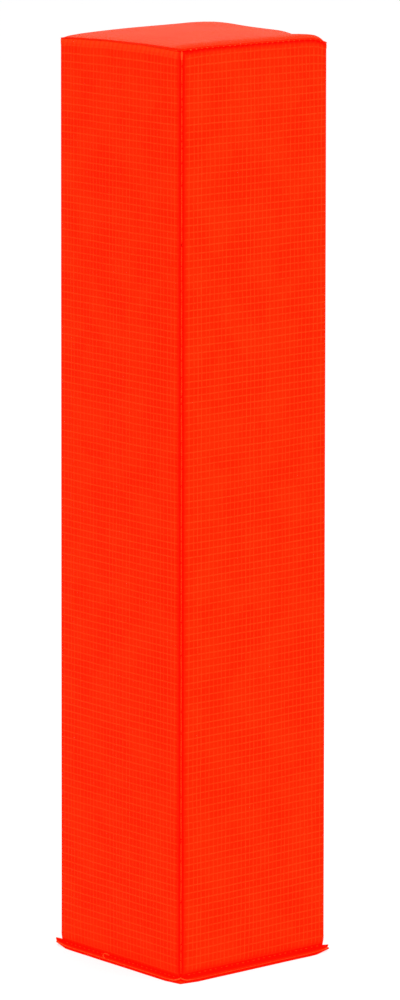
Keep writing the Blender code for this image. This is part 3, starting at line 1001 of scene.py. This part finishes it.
def corner_tack(name, end, material):
    """The lump of thread where a corner's seam is sewn back over itself under the top."""
    bm = bmesh.new()
    points = [end - Vector((0, 0, share * TACK_LENGTH)) for share, size in TACK_SHAPE]
    tube(bm, points, [TACK_RADIUS * size for share, size in TACK_SHAPE], 8)
    return mesh_object(name, bm, [material])


CORNER_SEAM_DIP = 0.004
THREAD_STOP = 0.0022
FOOT_THREAD_OUT = 0.3
FOOT_THREAD_UP = 0.05

# The seams of the top and of the foot are counted from the right side on, so that the front's is the last
FRONT = 3


def seams(material, foot_material, bead_material, shade_material):
    """The corner seams with their tacks, and the seams round the top and the foot from the right on."""
    made = []
    crease = HALF - CREASE_DEPTH - PLY_GAP / 2
    for turn in range(4):
        angle = math.pi / 4 + turn * math.pi / 2
        outwards = Vector((math.cos(angle), math.sin(angle), 0))
        corner = outwards * (crease * ROOT_TWO + THREAD_SHOW)
        start = corner + Vector((0, 0, WALL_FOOT - CORNER_SEAM_DIP))
        end = corner + Vector((0, 0, TOP_SEAM - CREASE_DEPTH))
        made.append(seam_thread(f"corner_seam_{turn + 1}", start, end, outwards, [material], turn + 1))
        made.append(corner_tack(f"corner_tack_{turn + 1}", end, bead_material))
    for turn in range(4):
        angle = turn * math.pi / 2
        side = Vector((math.cos(angle), math.sin(angle), 0))
        half = Vector((-side.y, side.x, 0)) * (HALF - CREASE_DEPTH - THREAD_STOP)
        outwards = (side + Vector((0, 0, 1))).normalized()
        middle = side * crease + Vector((0, 0, TOP_SEAM - HALF + crease)) + outwards * TOP_THREAD_SHOW
        materials = [material]
        stitch = STITCH_LENGTH, STITCH_RADIUS
        if turn == FRONT:
            # The front's top seam has a thick dark core of painted shade, standing for the crease's shadow,
            # under lighter beads
            middle = side * (HALF - BEAD_INSIDE) + Vector((0, 0, TOP_SEAM - BEAD_BELOW))
            materials = [shade_material, bead_material]
            stitch = BEAD_LENGTH, BEAD_RADIUS
        made.append(seam_thread(f"top_seam_{turn + 1}", middle - half, middle + half, outwards, materials,
                                turn + 11, TOP_CORES[turn], stitch))
        reach, height = FOOT_PROFILE[STITCH_ROW]
        middle = side * (HALF + (reach + FOOT_THREAD_OUT) * MM)
        middle.z = (height + FOOT_THREAD_UP) * MM - FOOT_SINK[(turn + 1) % 4]
        # The foot seams' cores are of painted shade as well
        made.append(seam_thread(f"foot_seam_{turn + 1}", middle - half, middle + half, side,
                                [shade_material, foot_material], turn + 21,
                                stitch=(FOOT_STITCH_LENGTH, STITCH_RADIUS)))
    return made


# The thread's loose end, as (out from the body, along the side, up) in millimetres
TAIL_POINTS = (
    (2.2, 7.6, 1.3), (2.3, 8.7, 1.8), (2.2, 9.4, 2.6), (1.9, 9.5, 3.3), (1.5, 8.9, 3.7), (1.2, 7.7, 3.6),
    (1.0, 6.2, 3.2),
)
TAIL_RADIUS = 0.00028


def thread_tail(material):
    """The loose end of the seam's thread, curled on the left side of the foot."""
    bm = bmesh.new()
    line = [Vector((-HALF - out * MM, along * MM, up * MM)) for out, along, up in TAIL_POINTS]
    tube(bm, line, [TAIL_RADIUS] * len(line))
    return mesh_object("thread_tail", bm, [material])


# Foam block
CLOSED_CORNER = (0, 0.0006, 0.0014, 0.0024, 0.0036, 0.005)
FOAM_RUN = 22
FOAM_TOP_HALF = TOP_HALF - 2 * CLEARANCE


def slit_points(half):
    """Half a corner of the foam, from the bottom of its slit to the foam's side.

    The points are (depth in from the corner of the body, half width) pairs. Where the foam is drawn in
    past the slit, the corner is plain.
    """
    corner = (HALF - half) * ROOT_TWO
    if corner + SLIT_HALF > FLAP_DEPTH - CLEARANCE:
        return [(corner + along / ROOT_TWO, along / ROOT_TWO) for along in CLOSED_CORNER]
    slope = (SLIT_MOUTH - SLIT_HALF) / SLIT_TAPER
    mouth = max((SLIT_MOUTH + corner) / (1 + slope), corner + SLIT_HALF)
    points = [(FLAP_DEPTH, 0)]
    for depth in steps(FLAP_DEPTH, mouth, len(CLOSED_CORNER) - 2):
        points.append((depth, max(SLIT_HALF, SLIT_MOUTH - slope * depth)))
    points[-1] = (mouth, mouth - corner)
    return points


def foam_ring(bm, half, height, bulging):
    """One level of the foam, counter-clockwise from the corner between the left side and the front."""
    corner = slit_points(half)
    ring = []
    for turn in range(4):
        angle = turn * math.pi / 2
        out = Vector((math.sin(angle), -math.cos(angle)))
        along = Vector((math.cos(angle), math.sin(angle)))
        before = [(out - along) * (HALF - depth / ROOT_TWO) + (out + along) * width / ROOT_TWO
                  for depth, width in corner]
        after = [(out + along) * (HALF - depth / ROOT_TWO) + (out - along) * width / ROOT_TWO
                 for depth, width in reversed(corner)]
        reach = after[0].dot(along)
        run = []
        for across in steps(-reach, reach, FOAM_RUN + 1)[1:-1]:
            swell = belly(across, height, turn + 1) if bulging else 0
            run.append(out * (half + swell) + along * across)
        ring += [bm.verts.new((place.x, place.y, height)) for place in before + run + after[:-1]]
    return ring


def foam_profile():
    """The foam's side as (half width, height, bulging) from the edge of its top down to the sand bag."""
    profile = []
    for depth, above in ((FLAP_DEPTH, SLIT_HALF), (FLAP_DEPTH, -SLIT_HALF), (SLIT_TAPER, -SLIT_HALF)):
        profile.append((HALF - (depth + above) / ROOT_TWO, TOP_SEAM - (depth - above) / ROOT_TWO, False))
    top = TOP_SEAM - SLIT_MOUTH * ROOT_TWO
    count = round((top - FOAM_BOTTOM) / WALL_STEP)
    profile += [(HALF - LINING, height, True) for height in steps(top, FOAM_BOTTOM, count)]
    return profile


def foam_core(material):
    """The foam block, with the slits and the groove that the seam allowances press into it."""
    bm = bmesh.new()
    edge = foam_ring(bm, FOAM_TOP_HALF, 0, False)
    for vert in edge:
        vert.co.z = foam_top(vert.co.x, vert.co.y)
    rings = [edge] + [foam_ring(bm, half, height, bulging) for half, height, bulging in foam_profile()]
    join_all(bm, rings)
    side = len(edge) // 4
    front = edge[:side + 1]
    right = edge[side:2 * side + 1]
    back = list(reversed(edge[2 * side:3 * side + 1]))
    left = [edge[0]] + list(reversed(edge[3 * side + 1:])) + [edge[3 * side]]
    last = front
    for row in range(1, side + 1):
        current = back
        if row < side:
            y = right[row].co.y
            inner = [bm.verts.new((vert.co.x, y, foam_top(vert.co.x, y))) for vert in front[1:side]]
            current = [left[row], *inner, right[row]]
        join_rows(bm, last, current, closed=False)
        last = current
    bm.faces.new(rings[-1])
    bmesh.ops.recalc_face_normals(bm, faces=bm.faces)
    obj = mesh_object("foam_block", bm, [material], "foam_core", smooth=False)
    return obj


def foam_top(x, y):
    """The height of the foam's top, which follows the top panel's."""
    return TOP_PLANE - LINING + top_shape(x, y) - CLEARANCE


# Sand bag
BAG_RUN = 14
BAG_CORNER_STEPS = 8
BAG_EDGE_STEPS = 6
BAG_WALL_STEPS = 12
BAG_SEAM_INSET = 0.0012
BAG_SEAM_WAVE = 0.0003
BAG_SAG_SIZE = 0.022
BAG_STITCH_SHAPE = ((-1, 1.6), (-0.6, 0.1), (0, 0), (0.6, 0.1), (1, 1.6))
GATHER_AT_CORNER = 1.6
FRINGE_WAVE = 0.0012
FRINGE_RAGGED = 0.08


def rounded_square(half, radius):
    """Points round a square with round corners, as (place, way out, distance round), from its right side."""
    points = []
    travel = 0
    last = None
    for turn in range(4):
        angle = turn * math.pi / 2
        out = Vector((math.cos(angle), math.sin(angle)))
        along = Vector((-math.sin(angle), math.cos(angle)))
        reach = half - radius
        places = [(out * half + along * across, out) for across in steps(-reach, reach, BAG_RUN)]
        centre = (out + along) * reach
        for step in range(1, BAG_CORNER_STEPS):
            bend = math.pi / 2 * step / BAG_CORNER_STEPS
            way = out * math.cos(bend) + along * math.sin(bend)
            places.append((centre + way * radius, way))
        for place, way in places:
            travel += (place - last).length if last is not None else 0
            last = place
            points.append((place, way, travel))
    return points


def bag_profile(inset):
    """One half of the bag, from its flat to its rim, as (half width, height from rim, distance from flat)."""
    wall = BAG_HALF - inset
    edge = BAG_EDGE - inset
    bottom = BAG_RIM - BAG_BOTTOM - inset
    seam = BAG_CLOTH + CLEARANCE / 2
    profile = []
    for angle in steps(0, math.pi / 2, BAG_EDGE_STEPS):
        profile.append((wall - edge + edge * math.sin(angle), bottom - edge * (1 - math.cos(angle)),
                        edge * angle))
    for height in steps(bottom - edge, seam, BAG_WALL_STEPS)[1:]:
        tuck = BAG_TUCK * bell(height, BAG_TUCK_SPREAD)
        profile.append((wall - tuck, height, edge * math.pi / 2 + bottom - edge - height + tuck))
    return profile


def gather(height, travel, way, seed):
    """How far the seam's gathers pull the bag's wall in at a place."""
    corner = 1 + GATHER_AT_CORNER * abs(way.x * way.y)
    phase = 2 * math.pi * travel / GATHER_PITCH + 2.5 * noise.noise(Vector((travel * 40, seed * 5.7, 0)))
    fold = 0.5 + 0.5 * math.sin(phase)
    return GATHER * corner * fold * bell(height, GATHER_SPREAD)


def bag_half(sheet, inset, side, seed, fringe):
    """Rings of vertices of half the bag or of the sand in it, from the middle of its flat to its rim."""
    rings = []
    flat_half = BAG_HALF - BAG_EDGE
    flat_height = BAG_RIM - BAG_BOTTOM - inset
    rows = [(flat_half * share, flat_height, 0, share) for share in (0.2, 0.4, 0.6, 0.8)]
    rows += [(half, height, run, 1) for half, height, run in bag_profile(inset)]
    for half, height, run, share in rows:
        radius = max(BAG_CORNER - (BAG_HALF - half), BAG_CLOTH) if share == 1 else half * 0.5
        ring = []
        for place, way, travel in rounded_square(half, radius):
            pull = gather(height, travel / share, way, seed) * (share == 1)
            hollow = 0.5 + 0.5 * dent(place, BAG_SAG_SIZE, seed)
            sunk = BAG_SAG * hollow * max(0, 1 - run / BAG_EDGE) * (side > 0)
            pulled = place - way * pull
            level = BAG_RIM + side * (height - sunk)
            ring.append(sheet.vert((pulled.x, pulled.y, level), place + way * run))
        rings.append(ring)
    for reach in ((0.5, 1.0) if fringe else ()):
        half, height, run = bag_profile(inset)[-1]
        ring = []
        for place, way, travel in rounded_square(half, BAG_CORNER - (BAG_HALF - half)):
            ragged = 1 + FRINGE_RAGGED * noise.noise(Vector((travel * 300, seed, 0)))
            here = place + way * BAG_FRINGE * reach * ragged
            level = BAG_RIM + side * height + FRINGE_WAVE * reach * rim_wave(travel)
            ring.append(sheet.vert((here.x, here.y, level), place + way * (run + BAG_FRINGE * reach)))
        rings.append(ring)
    join_all(sheet.bm, rings)
    sheet.bm.faces.new(rings[0])
    return rings


def rim_wave(travel):
    """The wave of the bag's fringe and of its stitches at a distance round it, from -1 to 1."""
    return noise.noise(Vector((travel * 90, 3.3, 0)))


def ballast_bag(cotton, sand):
    """The two cloths of the sand bag, rim to rim, and the sand in them."""
    made = []
    halves = ((-1, "lower", 41), (1, "upper", 42))
    for side, name, seed in halves:
        sheet = Sheet()
        bag_half(sheet, 0, side, seed, fringe=True)
        made.append(sheet.piece(f"sandbag_cloth_{name}", f"ballast_bag_{name}", "gathered", ["ballast_sand"],
                                [cotton], "bag_cloth", BAG_CLOTH, 0, side, bag_profile(0)[-1][2]))
    sheet = Sheet()
    inset = BAG_CLOTH + 2 * CLEARANCE
    lower, upper = [bag_half(sheet, inset, side, seed, fringe=False) for side, name, seed in halves]
    sheet.strip(lower[-1], upper[-1], closed=True)
    bmesh.ops.recalc_face_normals(sheet.bm, faces=sheet.bm.faces)
    return [*made, mesh_object("sand_fill", sheet.bm, [sand], "ballast_sand")]


def bag_seam(material):
    """The stitches that hold the bag's two cloths together, just outside its tucked rim."""
    bm = bmesh.new()
    ring = rounded_square(BAG_HALF - BAG_TUCK + BAG_SEAM_INSET, BAG_CORNER - BAG_TUCK)
    level = BAG_RIM + CLEARANCE / 2 + BAG_CLOTH + STITCH_RADIUS
    due = 0
    for (place, way, travel), after in zip(ring, ring[1:] + ring[:1]):
        length = (after[0] - place).length
        along = (after[0] - place).normalized()
        while due < length:
            wave = BAG_SEAM_WAVE * rim_wave(travel + due)
            points = []
            for share, drop in BAG_STITCH_SHAPE:
                here = place + along * (due + STITCH_LENGTH / 2 * share)
                points.append(Vector((here.x, here.y, level + wave - drop * STITCH_RADIUS)))
            tube(bm, points, [STITCH_RADIUS] * len(points))
            due += STITCH_PITCH
        due -= length
    return mesh_object("sandbag_seam", bm, [material])


# Studio. Each soft light has its place, the height that it looks at over the origin, its size and its power
FLOOR_SIZE = 14
FLOOR_GREY = (0.32, 0.32, 0.32)
FLOOR_LIGHT = 0.68
WHITE = (1, 1, 1)
SOFTBOXES = (
    ("key", (-1.2, -1.3, 1.5), 0.25, 0.9, 15.0),
    ("fill", (1.2, -1.5, 1.1), 0.2, 1.2, 12.0),
    ("overhead", (0.1, 0.1, 1.9), 0.3, 1.0, 16.0),
)


def floor_and_light():
    bm = bmesh.new()
    bmesh.ops.create_grid(bm, x_segments=4, y_segments=4, size=FLOOR_SIZE)
    floor = bare_object("floor", bm)
    graph = Graph("floor")
    graph.feed(graph.shader.inputs["Emission Color"], WHITE)
    graph.feed(graph.shader.inputs["Emission Strength"], FLOOR_LIGHT)
    floor.data.materials.append(graph.finish(FLOOR_GREY, 0.8, 0.0))

    world = bpy.data.worlds.new("studio")
    world.use_nodes = True
    world.node_tree.nodes["Background"].inputs["Color"].default_value = (*WHITE, 1)
    world.node_tree.nodes["Background"].inputs["Strength"].default_value = 1.0
    bpy.context.scene.world = world
    for name, place, height, size, power in SOFTBOXES:
        data = bpy.data.lights.new(name, "AREA")
        data.size = size
        data.energy = power
        lamp = linked(name, data)
        lamp.location = place
        lamp.rotation_euler = (Vector((0, 0, height)) - Vector(place)).to_track_quat("-Z", "Y").to_euler()
        lamp.visible_camera = False


# Camera, from the fit of the body's corners in the photograph
AZIMUTH = math.radians(-40.18)
ELEVATION = math.radians(10.34)
ROLL = math.radians(0.08)
DISTANCE = 2.614
SENSOR_MM = 36
FOCAL_PIXELS = 5320
LONG_SIDE_PIXELS = 1000
TARGET_RIGHT = 0.0035
TARGET_HEIGHT = 0.2271


def camera():
    data = bpy.data.cameras.new("camera")
    data.sensor_width = SENSOR_MM
    data.lens = SENSOR_MM * FOCAL_PIXELS / LONG_SIDE_PIXELS
    data.clip_start = 0.05
    data.clip_end = 60
    obj = linked("camera", data)
    level = math.cos(ELEVATION)
    back = Vector((math.sin(AZIMUTH) * level, -math.cos(AZIMUTH) * level, math.sin(ELEVATION)))
    right = Vector((math.cos(AZIMUTH), math.sin(AZIMUTH), 0))
    up = back.cross(right)
    target = right * TARGET_RIGHT + Vector((0, 0, TARGET_HEIGHT))
    turned_right = right * math.cos(ROLL) + up * math.sin(ROLL)
    turned_up = up * math.cos(ROLL) - right * math.sin(ROLL)
    axes = Matrix((turned_right, turned_up, back)).transposed().to_4x4()
    obj.matrix_world = Matrix.Translation(target + back * DISTANCE) @ axes
    bpy.context.scene.camera = obj


# How the finished cover is drawn up by its seam and pulled down at places on its top edge, which are
# (place in half widths, broad drop, sharp drop, reach of the sharp one)
SEAM_LIFT = 0.0021
SEAM_LIFT_POWER = 1.6
SEAM_LIFT_FADE = 0.008
SEAM_DIP = 0.83
SEAM_DIP_LENGTH = 0.013
SEAM_RIPPLE = 0.00025
BODY_CORNERS = (
    ((-1, 1), 0.0010, 0.0010, 0.0060),
    ((1, -1), 0.0002, 0.0029, 0.0062),
    ((1, 1), 0.0004, 0.0006, 0.0060),
    ((1, -0.52), 0.0, 0.0014, 0.0078),
)
BROAD_DROP_REACH = 0.030
DROP_FADE = 0.016


def seam_lift(place):
    """How far the top seam is drawn up at a place, least at the corner nearest the camera."""
    crease = TOP_SEAM - CREASE_DEPTH
    if place.z > crease:
        share = max(0, (TOP_PLANE - place.z) / (TOP_PLANE - crease)) ** SEAM_LIFT_POWER
    else:
        share = bell(crease - place.z, SEAM_LIFT_FADE)
    near = (place.xy + Vector((HALF, HALF))).length
    level = SEAM_LIFT * (1 - SEAM_DIP * math.exp(-near / SEAM_DIP_LENGTH))
    level += SEAM_RIPPLE * noise.noise(Vector((place.x * 60, place.y * 60, 9.1)))
    drop = 0
    for corner, broad, sharp, reach in BODY_CORNERS:
        apart = (place.xy - Vector(corner) * HALF).length
        drop += broad * bell(apart, BROAD_DROP_REACH) + sharp * bell(apart, reach)
    return level * share - drop * clamp((place.z - TOP_SEAM + DROP_FADE) / DROP_FADE)


def settle(obj):
    """Puts the piece's place in its mesh, and spreads the foot as its sand does."""
    place = obj.matrix_basis.copy()
    obj.matrix_basis = Matrix.Identity(4)
    for vert in obj.data.vertices:
        co = place @ vert.co
        spread = FOOT_SPREAD + (TOP_SPREAD - FOOT_SPREAD) * co.z / TOP_PLANE
        vert.co = (co.x * spread, co.y * spread, co.z + seam_lift(co))


camera()
floor_and_light()
# The front and left differ from the hidden sides only in painted shade and painted light, set to how light
# falls on each
hidden_vinyl = side_vinyl("scrim_vinyl_side")
front_vinyl = side_vinyl("scrim_vinyl_front", seam_start=-1.4, seam_full=0.5, corners=(2.6, 1.4))
left_vinyl = side_vinyl("scrim_vinyl_left", seam_start=0.9, corners=(1.4, 2.6), foot_crease=2.2, pale=0.7)
cut_edge = cut_edge_material("vinyl_cut_edge", VINYL_THREAD, VINYL_EDGE)
# Painted shade: the base's cut edge, dark as if in the shadow of the flange's upper ply
base_edge = cut_edge_material("vinyl_shaded_edge", VINYL_SHADE, VINYL_PLAIN)
sewing_thread = fibre_material("sewing_thread", THREAD_DEEP, THREAD_PLAIN)
shaded_foot_thread = fibre_material("shaded_foot_thread", SHADED_FOOT_THREAD_DEEP, SHADED_FOOT_THREAD_PLAIN)
bead_thread = fibre_material("bead_thread", BEAD_DEEP, BEAD_PLAIN)
shaded_thread = fibre_material("shaded_thread", VINYL_SHADE, SHADE_PLAIN)
pieces = side_panels([front_vinyl, hidden_vinyl, hidden_vinyl, left_vinyl], cut_edge)
pieces.append(top_cover([top_vinyl(), cut_edge]))
pieces.append(base_cover([base_vinyl(), base_edge]))
pieces += seams(sewing_thread, shaded_foot_thread, bead_thread, shaded_thread)
pieces.append(thread_tail(bead_thread))
pieces.append(foam_core(foam_material()))
pieces += ballast_bag(cotton_material(), sand_material())
pieces.append(bag_seam(bag_thread_material()))
for piece in pieces:
    settle(piece)

bpy.context.scene.view_settings.view_transform = "Standard"
